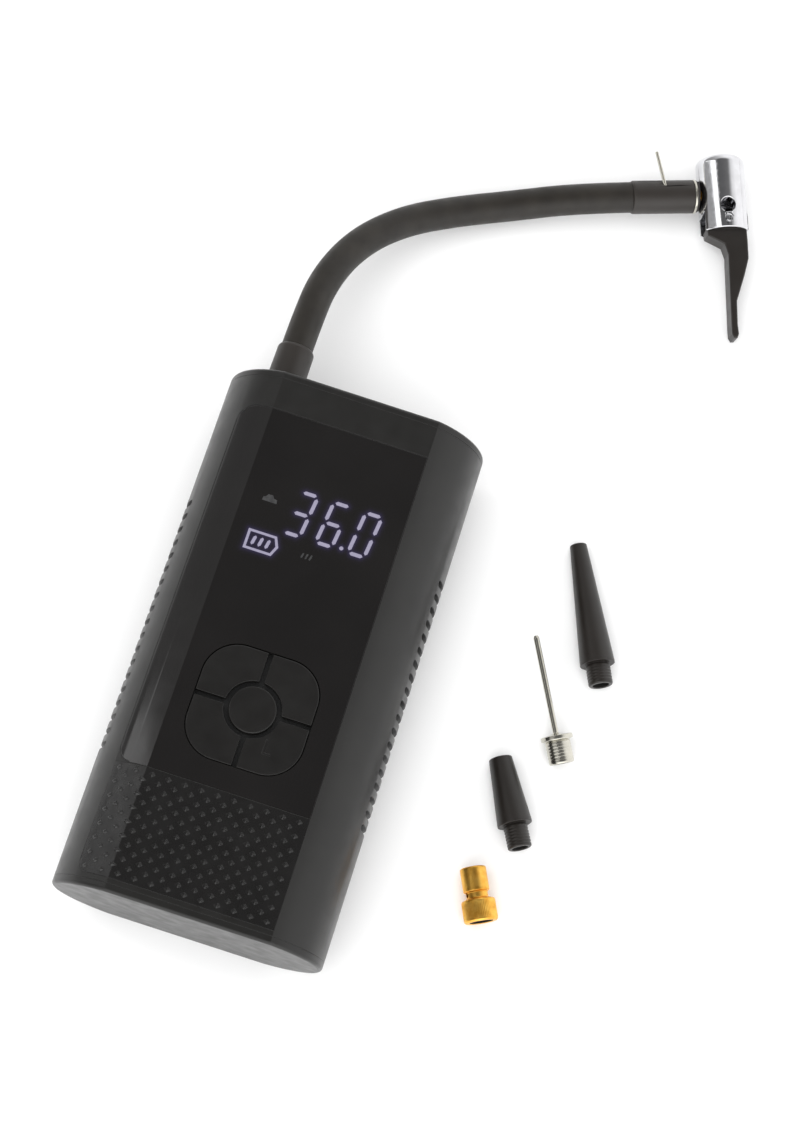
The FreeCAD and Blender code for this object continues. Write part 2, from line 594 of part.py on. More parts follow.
frame_plate = box(-32, 33, MOTOR_Y1, MOTOR_Y1 + 2.5, 2.4, 33).common(inside)
frame_plate = frame_plate.cut(cyl_y(4.5, 30, 36, MOTOR_X, PUMP_Z))
frame_plate = frame_plate.cut(cyl_y(2.0, 30, 36, GEAR_X, PUMP_Z))
saddle = box(14, 32, MOTOR_Y1 + 2.5, CYLINDER_Y, 2.4, 12).common(inside)
saddle = saddle.cut(cyl_x(CYLINDER_R + 0.1, 0, 60, CYLINDER_Y, PUMP_Z))
frame_foot = box(-24, 24, MOTOR_Y1, MOTOR_Y1 + 2.5, WALL, 3)
save("pump_frame", frame_plate.fuse([saddle, frame_foot]))


# ---- tubes ------------------------------------------------------------------------------------------
def route_wire(points, share=0.45, report=""):
    """Straight runs joined by tangent arcs; each arc takes share of its shorter run."""
    edges = []
    start = points[0]
    radii = []
    for before, corner, after in zip(points, points[1:], points[2:]):
        towards = (before - corner)
        away = (after - corner)
        cut = share * min(towards.Length, away.Length)
        towards.normalize()
        away.normalize()
        half_turn = (math.pi - towards.getAngle(away)) / 2
        radius = cut / math.tan(half_turn)
        radii.append(radius)
        middle = towards + away
        middle.normalize()
        first = corner + towards * cut
        last = corner + away * cut
        top = corner + middle * (radius / math.cos(half_turn) - radius)
        edges.append(Part.LineSegment(start, first).toShape())
        edges.append(Part.Arc(first, top, last).toShape())
        start = last
    edges.append(Part.LineSegment(start, points[-1]).toShape())
    if report:
        print(report, "radii", [round(r, 1) for r in radii])
    return Part.Wire(edges)


def swept(points, radius, share=0.45, report=""):
    """Round rod along a route, checked against section times length."""
    path = route_wire(points, share, report)
    direction = points[1] - points[0]
    section = Part.Wire([Part.makeCircle(radius, points[0], direction)])
    solid = path.makePipeShell([section], True, False)
    expected = math.pi * radius ** 2 * path.Length
    print(report or "tube", "length", round(path.Length, 1), "volume ratio",
          round(solid.Volume / expected, 4), "valid", solid.isValid())
    return solid


AIR_TUBE_ROUTE = [
    V(PORT_TUBE_X, CYLINDER_Y + 14, PUMP_Z),
    V(PORT_TUBE_X, 70.5, PUMP_Z),
    V(10, 70.0, 20.0),
    V(HOSE_EXIT_X, 66.0, HOSE_EXIT_Z),
    V(HOSE_EXIT_X, 78.0, HOSE_EXIT_Z),
]
save("air_tube", swept(AIR_TUBE_ROUTE, 2.4, 0.45, "air tube"))
barb = cyl_y(BARB_R, 78.0, HALF_LENGTH, HOSE_EXIT_X, HOSE_EXIT_Z)
save("hose_barb", barb.cut(cyl_y(1.4, 70, 90, HOSE_EXIT_X, HOSE_EXIT_Z)))
collar = revolve([(0, 0), (COLLAR_R + 0.5, 0), (COLLAR_R + 0.5, 1.0), (COLLAR_R + 0.1, 1.6),
                  (COLLAR_R - 0.1, COLLAR_LENGTH - 0.8), (COLLAR_R - 0.6, COLLAR_LENGTH),
                  (0, COLLAR_LENGTH)],
                 V(HOSE_EXIT_X, HALF_LENGTH, HOSE_EXIT_Z), Y_AXIS)
save("hose_collar", collar)
save("air_hose", swept(HOSE_ROUTE, HOSE_R, 0.45, "air hose"))

# ---- chuck --------------------------------------------------------------------------------------------
heading = math.radians(CHUCK_HEADING)
tilt = math.radians(CHUCK_TILT)
along = V(math.cos(heading), math.sin(heading), 0)       # the way the hose enters
level = V(-math.sin(heading), math.cos(heading), 0)      # across it, on the floor
up_barrel = level * math.cos(tilt) + V(0, 0, math.sin(tilt))     # lever end to valve end
sleeve_start = HOSE_ROUTE[-1]
SLEEVE_LENGTH = 22.9
BARREL_OFFSET = 31.4      # from the sleeve's start to the barrel's axis
barrel_foot = sleeve_start + along * BARREL_OFFSET - up_barrel * NIPPLE_LEVEL
turn = FreeCAD.Rotation(Z_AXIS, CHUCK_HEADING).multiply(FreeCAD.Rotation(X_AXIS, CHUCK_TILT))
chuck_place = FreeCAD.Placement(barrel_foot, turn)


def on_chuck(shape):
    """Shapes drawn with u across the barrel, v along it and w out of the lever's side, moved
    to the chuck's place."""
    shape.Placement = chuck_place.multiply(shape.Placement)
    return shape


def cyl_v(r, v0, v1):
    return Part.makeCylinder(r, v1 - v0, V(0, v0, 0), Y_AXIS)


PIVOT_V = 3.0
HUB_SWEEP_R = 8.15
LEVER_HALF = 3.5
SLOT_HALF = 3.8
LEVER_PIN_R = 1.1
SIGHT_HOLE_R = 2.5
SIGHT_HOLE_V = 7.8
NIPPLE_R = 2.6
NIPPLE_SEAT_U = -7.9      # the nipple's end, just inside the barrel's wall
AIR_WAY_R = 1.2
CHAMBER_R = 6.0
CHAMBER_V0 = 16.4
DEPRESSOR_THICKNESS = 1.6
SEAL_V0 = 18.8
SEAL_TOP = 24.4


def chuck_barrel():
    """Round body with a rounded valve end, a lever slot, the air way and a sight hole."""
    body = cyl_v(BARREL_R, 0, BARREL_LENGTH)
    crown = [e for e in body.Edges
             if e.BoundBox.YLength < 1e-6 and abs(e.BoundBox.YMin - BARREL_LENGTH) < 1e-6]
    body = body.makeFillet(2.6, crown)
    slot = cyl_z(HUB_SWEEP_R, -SLOT_HALF, SLOT_HALF, 0, PIVOT_V)
    slot = slot.fuse(box(-10, 10, -6, 0.8, -SLOT_HALF, SLOT_HALF))
    slot = slot.fuse(box(-10, 0, -6, 4.6, -SLOT_HALF, SLOT_HALF))
    body = body.cut(slot)
    body = body.cut(cyl_z(LEVER_PIN_R, -10, 10, 0, PIVOT_V))
    body = body.cut(cyl_z(SIGHT_HOLE_R, 0, 10, 0, SIGHT_HOLE_V))
    body = body.cut(cyl_v(CHAMBER_R, CHAMBER_V0, SEAL_TOP))
    body = body.cut(cyl_v(VALVE_BORE_R + 0.6, SEAL_TOP - 1, BARREL_LENGTH + 1))
    body = body.cut(cyl_x(NIPPLE_R, -12, NIPPLE_SEAT_U, NIPPLE_LEVEL, 0))
    air_way = cyl_x(AIR_WAY_R, -12, 0, NIPPLE_LEVEL, 0).fuse(cyl_v(AIR_WAY_R, NIPPLE_LEVEL, 17))
    return body.cut(air_way)


save("chuck_barrel", on_chuck(chuck_barrel()))
seal = cyl_v(CHAMBER_R, SEAL_V0, SEAL_TOP).cut(cyl_v(VALVE_BORE_R, SEAL_V0 - 1, SEAL_TOP + 1))
save("chuck_seal", on_chuck(seal))
depressor = cyl_v(CHAMBER_R, CHAMBER_V0 + 0.4, CHAMBER_V0 + DEPRESSOR_THICKNESS)
save("valve_depressor", on_chuck(depressor.fuse(cyl_v(0.9, CHAMBER_V0 + 1, SEAL_V0 - 0.2))))
lever_pin = cyl_z(LEVER_PIN_R, -10, 10, 0, PIVOT_V).common(cyl_v(BARREL_R, 0, BARREL_LENGTH))
save("lever_pin", on_chuck(lever_pin))


def chuck_lever():
    """Cam lever: hub on the pin, toe on the hose side, thin thumb arm as tall as the hub."""
    outline = [(-6.6, 0.6), (-6.4, -1.6), (-0.9, -4.6), (0.1, -8.2), (-0.5, -32.6), (-0.5, -35.8),
               (0.2, -37.2), (1.3, -37.2), (1.9, -35.8), (1.7, -32.6), (2.0, -24.4), (5.2, -15.6),
               (7.0, -9.7), (7.1, -3.4), (7.0, 0.6), (4.4, 3.4), (0, 7.4), (-4.6, 5.2)]
    arm = extrude_outline(outline, -LEVER_HALF, LEVER_HALF)
    arm = arm.makeFillet(0.6, [e for e in arm.Edges if abs(e.BoundBox.ZLength) < 1e-6])
    return arm.cut(cyl_z(LEVER_PIN_R + 0.05, -10, 10, 0, PIVOT_V))


save("chuck_lever", on_chuck(chuck_lever()))


def along_hose(r, s0, s1):
    """Round length on the hose axis, s measured from the sleeve's start."""
    return Part.makeCylinder(r, s1 - s0, sleeve_start + along * s0, along)


CLIP_PIN_R = 0.6
RING_S0 = 21.2            # the pale ring sits in a groove near the sleeve's end
RING_S1 = 22.0
pin_foot = sleeve_start + along * 11.3 + level * 0.4 + V(0, 0, 4.7)
pin_way = level * 14.1 - along * 2.0
clip_pin = Part.makeCylinder(CLIP_PIN_R, pin_way.Length, pin_foot, pin_way)
sleeve = revolve([(0, 0), (SLEEVE_R - 0.35, 0), (SLEEVE_R, 0.5), (SLEEVE_R, RING_S0),
                  (SLEEVE_R - 1, RING_S0), (SLEEVE_R - 1, RING_S1), (SLEEVE_R - 0.2, RING_S1),
                  (SLEEVE_R - 0.4, SLEEVE_LENGTH), (0, SLEEVE_LENGTH)], sleeve_start, along)
save("crimp_sleeve", sleeve.cut(clip_pin))
save("clip_pin", clip_pin)
save("chuck_nipple", along_hose(NIPPLE_R, SLEEVE_LENGTH, BARREL_OFFSET + NIPPLE_SEAT_U))
save("sleeve_ring", along_hose(SLEEVE_R + 0.1, RING_S0, RING_S1).cut(
    along_hose(SLEEVE_R - 1, RING_S0 - 1, RING_S1 + 1)))


# ---- loose nozzles on the floor ---------------------------------------------------------------------
def lying(profile, tip, end, rest_r0, rest_s0, rest_r1, rest_s1):
    """Turned piece lying on the floor on its rims rest_r0 at rest_s0 and rest_r1 at rest_s1."""
    tilt = math.atan2(rest_r1 - rest_r0, rest_s1 - rest_s0)
    flat = V(end[0] - tip[0], end[1] - tip[1], 0)
    flat.normalize()
    direction = flat * math.cos(tilt) + V(0, 0, math.sin(tilt))
    start_z = rest_r0 * math.cos(tilt) - rest_s0 * math.sin(tilt)
    return revolve(profile, V(tip[0], tip[1], start_z + 0.02), direction)


def thread(r, s0, s1, pitch, depth):
    """Profile points of a row of rounded thread crests."""
    points = []
    count = int((s1 - s0) / pitch)
    for index in range(count):
        s = s0 + index * pitch
        points += [(r - depth, s + 0.15 * pitch), (r, s + 0.4 * pitch),
                   (r, s + 0.6 * pitch), (r - depth, s + 0.85 * pitch)]
    return points


long_cone = [(1.3, 0), (2.3, 0), (2.8, 0.5), (5.6, 40.4), (5.6, 41.0), (3.5, 41.0)]
long_cone += thread(3.95, 41.6, 47.4, 1.0, 0.15) + [(3.6, 48.0), (2.6, 48.0), (2.6, 41), (1.3, 37)]
save("long_cone_nozzle", lying(long_cone, (80.1, 74.8), (99.5, 31.2), 2.8, 0.5, 5.6, 40.4))

short_cone = [(1.6, 0), (3.2, 0), (3.75, 0.5), (5.5, 21.2), (5.5, 21.9), (3.3, 21.9)]
short_cone += thread(3.8, 22.6, 29.0, 1.0, 0.15) + [(3.4, 29.5), (2.5, 29.5), (2.5, 23), (1.6, 18)]
save("short_cone_nozzle", lying(short_cone, (75.8, -1.1), (90.2, -28.3), 3.75, 0.5, 5.5, 21.2))

ball_needle = [(0, 0), (0.6, 0.15), (0.95, 0.9), (0.95, 31.6), (2.6, 32.0), (5.1, 32.4), (5.1, 33.7),
               (3.8, 34.2)]
ball_needle += thread(4.05, 34.4, 40.9, 1.0, 0.12) + [(3.8, 41.4), (2.4, 41.4), (2.4, 37), (0, 37)]
needle = lying(ball_needle, (74.85, 39.1), (94.9, 3.3), 5.1, 33.7, 4.05, 41.0)
save("ball_needle", needle)

presta = [(2.6, 0), (3.7, 0), (4.1, 0.4), (4.1, 7.4), (3.4, 7.9), (3.4, 9.6), (5.1, 10.2), (5.3, 10.6),
          (5.3, 16.5), (4.9, 17.0), (3.7, 17.0), (3.7, 11), (2.6, 10)]
adapter = lying(presta, (77.2, -37.2), (84.6, -52.4), 5.3, 10.6, 5.3, 16.5)
cross_way = V(-0.9, -0.44, 0.35)
side_hole = Part.makeCylinder(0.8, 8, V(80.9, -44.8, 5.3), cross_way)
save("presta_adapter", adapter.cut(side_hole))
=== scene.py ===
import json
import math

import bmesh
import bpy
from mathutils import Matrix, Quaternion, Vector
from mathutils.bvhtree import BVHTree


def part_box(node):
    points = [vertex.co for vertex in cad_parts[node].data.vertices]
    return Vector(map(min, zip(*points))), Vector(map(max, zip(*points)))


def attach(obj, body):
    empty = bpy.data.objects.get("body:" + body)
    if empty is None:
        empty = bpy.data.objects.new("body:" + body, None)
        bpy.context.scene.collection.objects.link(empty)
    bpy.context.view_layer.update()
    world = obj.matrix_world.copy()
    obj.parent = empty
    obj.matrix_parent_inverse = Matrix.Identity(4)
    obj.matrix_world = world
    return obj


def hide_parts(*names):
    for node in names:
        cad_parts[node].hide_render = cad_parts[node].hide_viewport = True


# Looks of the portable tire inflator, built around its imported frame.
# Metres, in the part's frame: +X is the housing's width, +Y runs towards the hose end and
# +Z points out of the display.  Sizes are written in millimetres and scaled by MM.

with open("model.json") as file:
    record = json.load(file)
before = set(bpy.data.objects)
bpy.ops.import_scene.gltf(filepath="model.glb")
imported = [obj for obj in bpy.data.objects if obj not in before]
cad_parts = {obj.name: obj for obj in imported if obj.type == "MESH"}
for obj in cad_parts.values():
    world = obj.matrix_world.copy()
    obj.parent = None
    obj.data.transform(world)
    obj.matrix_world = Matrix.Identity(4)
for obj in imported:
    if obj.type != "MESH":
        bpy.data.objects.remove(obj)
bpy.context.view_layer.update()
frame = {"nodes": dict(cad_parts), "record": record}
MM = 0.001
SLOT_OF = {row["node"]: row["material_slot"] for row in frame["record"]["subparts"]}
BODY_OF = {node: body for body, members in frame["record"]["behaviour"]["bodies"].items()
           for node in members}

# ---- camera ---------------------------------------------------------------------------------
CAMERA_PLACE = Vector((27.2, -173.1, 706.0)) * MM
CAMERA_TARGET = Vector((27.2, 49.8, 0.0)) * MM
CAMERA_ROLL = math.radians(17.97)
CAMERA_LENS = 72.7           # millimetres, on a sensor 36 mm high
SENSOR_HEIGHT = 36.0


def add_camera():
    data = bpy.data.cameras.new("camera")
    data.sensor_fit = "VERTICAL"
    data.sensor_height = SENSOR_HEIGHT
    data.lens = CAMERA_LENS
    camera = bpy.data.objects.new("camera", data)
    camera.location = CAMERA_PLACE
    level = (CAMERA_TARGET - CAMERA_PLACE).to_track_quat("-Z", "Y")
    camera.rotation_mode = "QUATERNION"
    camera.rotation_quaternion = level @ Quaternion((0, 0, 1), CAMERA_ROLL)
    bpy.context.collection.objects.link(camera)
    bpy.context.scene.camera = camera


add_camera()

# ---- hose -----------------------------------------------------------------------------------
HOSE_DIAMETER = 10.3 * MM
HOSE_ROUTE = [
    (-25.8, 101.5, 23.0), (-25.8, 110.7, 23.0), (-25.1, 128.5, 21.2), (-19.0, 146.3, 17.0),
    (-7.5, 161.0, 12.4), (8.2, 172.3, 8.6), (25.8, 181.6, 7.1), (44.9, 189.9, 9.8),
    (62.8, 196.6, 10.2),
]


def add_hose():
    """One smooth line through the open air from the collar to the crimp sleeve."""
    curve = bpy.data.curves.new("hose", "CURVE")
    curve.dimensions = "3D"
    curve.bevel_depth = 1.0      # times the radius of each point
    curve.bevel_resolution = 14
    curve.resolution_u = 24
    curve.use_fill_caps = True
    spline = curve.splines.new("NURBS")
    spline.points.add(len(HOSE_ROUTE) - 1)
    for point, place in zip(spline.points, HOSE_ROUTE):
        point.co = (*(Vector(place) * MM), 1.0)
        point.radius = HOSE_DIAMETER / 2
    spline.order_u = 3
    spline.use_endpoint_u = True
    spline.use_smooth = True
    hose = bpy.data.objects.new("hose", curve)
    bpy.context.collection.objects.link(hose)
    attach(hose, BODY_OF["air_hose"])
    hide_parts("air_hose")
    return hose


hose = add_hose()


# ---- finishes -------------------------------------------------------------------------------
class Finish:
    """A principled material with short ways to drive it from procedural patterns."""

    def __init__(self, name, color, roughness, **constants):
        self.material = bpy.data.materials.new(name)
        self.material.use_nodes = True
        self.nodes = self.material.node_tree.nodes
        self.links = self.material.node_tree.links
        self.shader = self.nodes["Principled BSDF"]
        self.shader.inputs["Base Color"].default_value = (*color, 1)
        self.shader.inputs["Roughness"].default_value = roughness
        for socket, value in constants.items():
            self.shader.inputs[socket.replace("_", " ")].default_value = value
        self.places = self.nodes.new("ShaderNodeTexCoord").outputs["Object"]
        self.normal = None

    def stretched(self, scale):
        """The object's own coordinates, multiplied along each axis."""
        mapping = self.nodes.new("ShaderNodeMapping")
        mapping.inputs["Scale"].default_value = scale
        self.links.new(self.places, mapping.inputs["Vector"])
        return mapping.outputs["Vector"]

    def noise(self, size, detail=3.0, stretch=(1, 1, 1)):
        """Cloudy pattern with features about size millimetres across."""
        node = self.nodes.new("ShaderNodeTexNoise")
        node.inputs["Scale"].default_value = 1 / (size * MM)
        node.inputs["Detail"].default_value = detail
        self.links.new(self.stretched(stretch), node.inputs["Vector"])
        return node.outputs["Fac"]

    def cells(self, size):
        """Rounded cells about size millimetres across, dark in the middle of each."""
        node = self.nodes.new("ShaderNodeTexVoronoi")
        node.feature = "SMOOTH_F1"
        node.inputs["Scale"].default_value = 1 / (size * MM)
        self.links.new(self.places, node.inputs["Vector"])
        return node.outputs["Distance"]

    def waves(self, size, direction, distortion=0.0):
        """Parallel bands size millimetres apart across an axis."""
        node = self.nodes.new("ShaderNodeTexWave")
        node.bands_direction = direction
        node.inputs["Scale"].default_value = 0.314 / (size * MM)
        node.inputs["Distortion"].default_value = distortion
        self.links.new(self.places, node.inputs["Vector"])
        return node.outputs["Fac"]

    def ranged(self, factor, low, high, start=0.3, end=0.7):
        """A pattern's start to end mapped on low to high."""
        node = self.nodes.new("ShaderNodeMapRange")
        node.inputs["From Min"].default_value = start
        node.inputs["From Max"].default_value = end
        node.inputs["To Min"].default_value = low
        node.inputs["To Max"].default_value = high
        self.links.new(factor, node.inputs["Value"])
        return node.outputs["Result"]

    def tint(self, factor, dark, light):
        """Base colour between two colours."""
        ramp = self.nodes.new("ShaderNodeValToRGB")
        ramp.color_ramp.elements[0].position = 0.3
        ramp.color_ramp.elements[0].color = (*dark, 1)
        ramp.color_ramp.elements[1].position = 0.7
        ramp.color_ramp.elements[1].color = (*light, 1)
        self.links.new(factor, ramp.inputs["Fac"])
        self.links.new(ramp.outputs["Color"], self.shader.inputs["Base Color"])

    def roughen(self, factor, low, high):
        self.links.new(self.ranged(factor, low, high), self.shader.inputs["Roughness"])

    def bump(self, height, depth, strength=1.0):
        """Relief depth millimetres deep, on top of any relief already there."""
        node = self.nodes.new("ShaderNodeBump")
        node.inputs["Strength"].default_value = strength
        node.inputs["Distance"].default_value = depth * MM
        self.links.new(height, node.inputs["Height"])
        if self.normal is not None:
            self.links.new(self.normal, node.inputs["Normal"])
        self.normal = node.outputs["Normal"]
        self.links.new(self.normal, self.shader.inputs["Normal"])


def shaded(color, share):
    return tuple(channel * share for channel in color)


def moulded(name, color, roughness, grain=0.35, depth=0.012, **constants):
    """Moulded plastic: fine spark-eroded grain, faint flow marks and uneven sheen."""
    finish = Finish(name, color, roughness, **constants)
    finish.tint(finish.noise(14, 4), shaded(color, 0.9), shaded(color, 1.1))
    finish.roughen(finish.noise(5, 5), roughness - 0.05, roughness + 0.06)
    finish.bump(finish.noise(grain, 2), depth, 0.6)
    finish.bump(finish.noise(22, 2), 0.02, 0.25)
    return finish.material


def gloss(name, color, roughness):
    """Polished moulding: slow waviness, a haze of handling and a very fine texture."""
    finish = Finish(name, color, roughness)
    finish.tint(finish.noise(30, 3), shaded(color, 0.85), shaded(color, 1.15))
    finish.roughen(finish.noise(9, 6), roughness - 0.02, roughness + 0.04)
    finish.bump(finish.noise(17, 2), 0.012, 0.35)
    finish.bump(finish.noise(0.25, 1), 0.0012, 0.4)
    return finish


def metal(name, color, roughness, line_depth, lines=(1, 1, 1)):
    """Metal with drawn or turned lines, a cloudy film and fine scratches."""
    finish = Finish(name, color, roughness, Metallic=1.0)
    finish.tint(finish.noise(3.5, 5), shaded(color, 0.88), color)
    finish.roughen(finish.noise(1.6, 6, lines), roughness - 0.04, roughness + 0.07)
    finish.bump(finish.noise(0.3, 3, lines), line_depth, 0.5)
    return finish.material


GLOSS_BLACK = (0.0075, 0.0068, 0.0066)     # shared by the panel and the window
GLOSS_ROUGHNESS = 0.1


def window_finish():
    """Smoked window with a painted violet glow round the lamps under it: emission on the plastic
    standing in for their light bleeding into it.
    """
    finish = gloss("smoked_window_painted_glow", GLOSS_BLACK, GLOSS_ROUGHNESS)
    painted_glow = finish.nodes.new("ShaderNodeAttribute")
    painted_glow.attribute_name = "painted_glow"
    ramp = finish.nodes.new("ShaderNodeValToRGB")
    ramp.color_ramp.elements[0].color = (0, 0, 0, 1)
    ramp.color_ramp.elements[1].color = (0.020, 0.015, 0.052, 1)
    finish.links.new(painted_glow.outputs["Fac"], ramp.inputs["Fac"])
    # painted glow: violet emission on the window, strongest right next to the lit bars
    finish.links.new(ramp.outputs["Color"], finish.shader.inputs["Emission Color"])
    finish.shader.inputs["Emission Strength"].default_value = 1.0
    return finish.material


def lamp_finish(name, color, strength):
    """Glowing bar whose brightness varies a little in faint blotches."""
    finish = Finish(name, (0.05, 0.05, 0.055), 0.3)
    ramp = finish.nodes.new("ShaderNodeValToRGB")
    ramp.color_ramp.elements[0].position = 0.25
    ramp.color_ramp.elements[0].color = (*shaded(color, 0.82), 1)
    ramp.color_ramp.elements[1].position = 0.75
    ramp.color_ramp.elements[1].color = (*color, 1)
    finish.links.new(finish.noise(1.1, 2), ramp.inputs["Fac"])
    finish.links.new(ramp.outputs["Color"], finish.shader.inputs["Emission Color"])
    finish.shader.inputs["Emission Strength"].default_value = strength
    return finish.material


def dim_finish():
    """Faint grey symbol seen through the smoked window."""
    finish = Finish("faint_symbol", (0.035, 0.035, 0.036), 0.3)
    finish.tint(finish.noise(0.8, 3), (0.024, 0.024, 0.025), (0.05, 0.05, 0.051))
    return finish.material


def rubber_finish():
    """Hose rubber: a dry bloom in soft streaks over fine pores."""
    finish = Finish("hose_rubber", (0.015, 0.0125, 0.010), 0.5, Specular_IOR_Level=0.42)
    finish.tint(finish.noise(7, 5), (0.0115, 0.0095, 0.0075), (0.0185, 0.0155, 0.012))
    finish.roughen(finish.noise(4, 5), 0.42, 0.58)
    finish.bump(finish.noise(0.35, 3), 0.02, 0.6)
    finish.bump(finish.noise(5, 3), 0.05, 0.3)
    return finish.material


def brass_finish():
    """Turned brass, warmer and duller in patches where it has been handled."""
    finish = Finish("turned_brass", (0.88, 0.47, 0.08), 0.4, Metallic=1.0)
    finish.tint(finish.noise(2.6, 5), (0.74, 0.35, 0.045), (0.98, 0.59, 0.12))
    finish.roughen(finish.noise(1.4, 6), 0.33, 0.48)
    finish.bump(finish.noise(0.25, 3), 0.006, 0.5)
    return finish.material


def board_finish():
    """Green solder mask over copper tracks."""
    finish = Finish("circuit_board", (0.02, 0.12, 0.05), 0.3, Coat_Weight=0.3)
    finish.tint(finish.cells(2.2), (0.012, 0.10, 0.035), (0.03, 0.17, 0.07))
    finish.bump(finish.cells(2.2), 0.03, 0.4)
    return finish.material


def cell_finish():
    """Blue shrink sleeve with faint tension wrinkles."""
    finish = Finish("cell_sleeve", (0.04, 0.16, 0.36), 0.3, Coat_Weight=0.2)
    finish.tint(finish.noise(6, 3), (0.03, 0.13, 0.31), (0.05, 0.19, 0.41))
    finish.bump(finish.noise(1.5, 3, (3, 0.4, 3)), 0.03, 0.4)
    return finish.material


def winding_finish():
    """Enamelled copper wire, wound across the rotor."""
    finish = Finish("copper_winding", (0.62, 0.25, 0.1), 0.3, Metallic=0.85)
    finish.tint(finish.waves(0.5, "Y", 0.6), (0.4, 0.14, 0.05), (0.72, 0.33, 0.15))
    finish.bump(finish.waves(0.5, "Y", 0.6), 0.12, 0.8)
    return finish.material


FINISHES = {
    "shell": moulded("satin_housing", (0.0100, 0.0096, 0.0090), 0.34, grain=0.3, depth=0.008,
                     Specular_IOR_Level=0.4),
    "panel": gloss("gloss_front", GLOSS_BLACK, GLOSS_ROUGHNESS).material,
    "grip": moulded("grip_black", (0.0062, 0.0058, 0.0056), 0.27, grain=0.5, depth=0.004),
    "window": window_finish(),
    "lights": lamp_finish("lit_lavender", (0.33, 0.305, 0.43), 1.0),
    "dim_lights": dim_finish(),
    "keys": moulded("key_black", (0.0076, 0.0071, 0.0067), 0.33, grain=0.28, depth=0.006,
                    Specular_IOR_Level=0.4),
    "board": board_finish(),
    "black_part": moulded("black_moulding", (0.012, 0.012, 0.012), 0.5),
    "cell_wrap": cell_finish(),
    "nickel": metal("nickel_plate", (0.62, 0.60, 0.53), 0.2, line_depth=0.003),
    "steel": metal("machined_steel", (0.52, 0.53, 0.54), 0.24, line_depth=0.004, lines=(1, 6, 1)),
    "zinc": metal("zinc_plate", (0.45, 0.46, 0.48), 0.36, line_depth=0.006),
    "copper": winding_finish(),
    "gear_plastic": moulded("natural_acetal", (0.70, 0.67, 0.58), 0.38, Subsurface_Weight=0.05),
    "alloy": metal("cast_alloy", (0.6, 0.61, 0.62), 0.42, line_depth=0.02),
    "rubber": rubber_finish(),
    "sleeve": moulded("sleeve_black", (0.019, 0.0155, 0.013), 0.45, grain=0.25, depth=0.01),
    "chrome": metal("bright_chrome", (0.72, 0.72, 0.74), 0.075, line_depth=0.0008),
    "brass": brass_finish(),
    "seal": moulded("seal_rubber", (0.02, 0.02, 0.02), 0.55, grain=0.2),
    "nozzle": moulded("nozzle_black", (0.0105, 0.0082, 0.0066), 0.40, grain=0.22, depth=0.010),
}
# painted shade: one near-black colour for the inside of every bore, whatever the piece is made of
BORE_PAINTED_SHADE = moulded("bore_painted_shade", (0.004, 0.0035, 0.003), 0.6, grain=0.2)
for node_name, cad_node in frame["nodes"].items():
    cad_node.material_slots[0].material = FINISHES[SLOT_OF[node_name]]
hose.data.materials.append(FINISHES["rubber"])


# ---- pieces made from the frame's own shapes ----------------------------------------------------
MERGE_DIGITS = 7             # decimals of a metre that tell two corners apart
SAME_SURFACE = math.radians(8)
ROUNDED_ABOVE = math.radians(28)
FLAT_WITHIN = math.radians(0.15)
ROUNDING_STEPS = 2


def welded(source):
    """Faces on merged corners, and for each edge how sharply the surface turns there."""
    numbers = {}
    points = []
    corner = []
    for vertex in source.vertices:
        key = tuple(round(value, MERGE_DIGITS) for value in vertex.co)
        if key not in numbers:
            numbers[key] = len(points)
            points.append(vertex.co.copy())
        corner.append(numbers[key])
    normals = source.corner_normals
    faces = []
    beside = {}
    for polygon in source.polygons:
        loops = list(polygon.loop_indices)
        ring = [corner[source.loops[loop].vertex_index] for loop in loops]
        if len(set(ring)) < len(ring):
            continue
        faces.append(ring)
        for step in range(len(ring)):
            after = (step + 1) % len(ring)
            ends = {ring[step]: normals[loops[step]].vector.copy(),
                    ring[after]: normals[loops[after]].vector.copy()}
            beside.setdefault(frozenset(ends), []).append(ends)
    turns = {}
    for edge, sides in beside.items():
        if len(sides) == 2:
            turns[edge] = max(sides[0][end].angle(sides[1][end], 0.0) for end in edge)
    return points, faces, turns


SEAM_MARGIN = 0.4 * MM
SEAMED = ("front_panel", "grip_pad")
FRONT_SEAMS = [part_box("display_window"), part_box("keypad_carrier")]
GRIP_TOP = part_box("grip_pad")[1].y


def on_front_seam(place):
    """True on the tight seams of the front: round the window and keys, and above the grip."""
    if abs(place.y - GRIP_TOP) < SEAM_MARGIN:
        return True
    return any(all(low[axis] - SEAM_MARGIN < place[axis] < high[axis] + SEAM_MARGIN
                   for axis in (0, 1)) for low, high in FRONT_SEAMS)


def refined(node, radius):
    """Copy of a CAD node whose sharp edges are rounded off by radius millimetres."""
    points, faces, turns = welded(frame["nodes"][node].data)
    mesh = bpy.data.meshes.new(node + "_finished")
    mesh.from_pydata(points, [], faces)
    form = bmesh.new()
    form.from_mesh(mesh)
    form.verts.ensure_lookup_table()
    weight = form.edges.layers.float.new("bevel_weight_edge")
    for edge in form.edges:
        turn = turns.get(frozenset(vertex.index for vertex in edge.verts), 0.0)
        edge.smooth = turn < SAME_SURFACE
        tight = node in SEAMED and all(on_front_seam(vertex.co) for vertex in edge.verts)
        edge[weight] = 1.0 if turn > ROUNDED_ABOVE and not tight else 0.0
    for face in form.faces:
        face.smooth = True
    bmesh.ops.dissolve_limit(form, angle_limit=FLAT_WITHIN, verts=form.verts, edges=form.edges,
                             delimit={"SHARP"})
    form.to_mesh(mesh)
    form.free()
    piece = bpy.data.objects.new(node + "_finished", mesh)
    bpy.context.collection.objects.link(piece)
    bevel = piece.modifiers.new("rounding", "BEVEL")
    bevel.limit_method = "WEIGHT"
    bevel.width = radius * MM
    bevel.segments = ROUNDING_STEPS
    bevel.use_clamp_overlap = False
    bevel.miter_outer = "MITER_ARC"
    flat = piece.modifiers.new("flat_faces", "WEIGHTED_NORMAL")
    flat.keep_sharp = True
    applied(piece)
    dressed(piece, node)


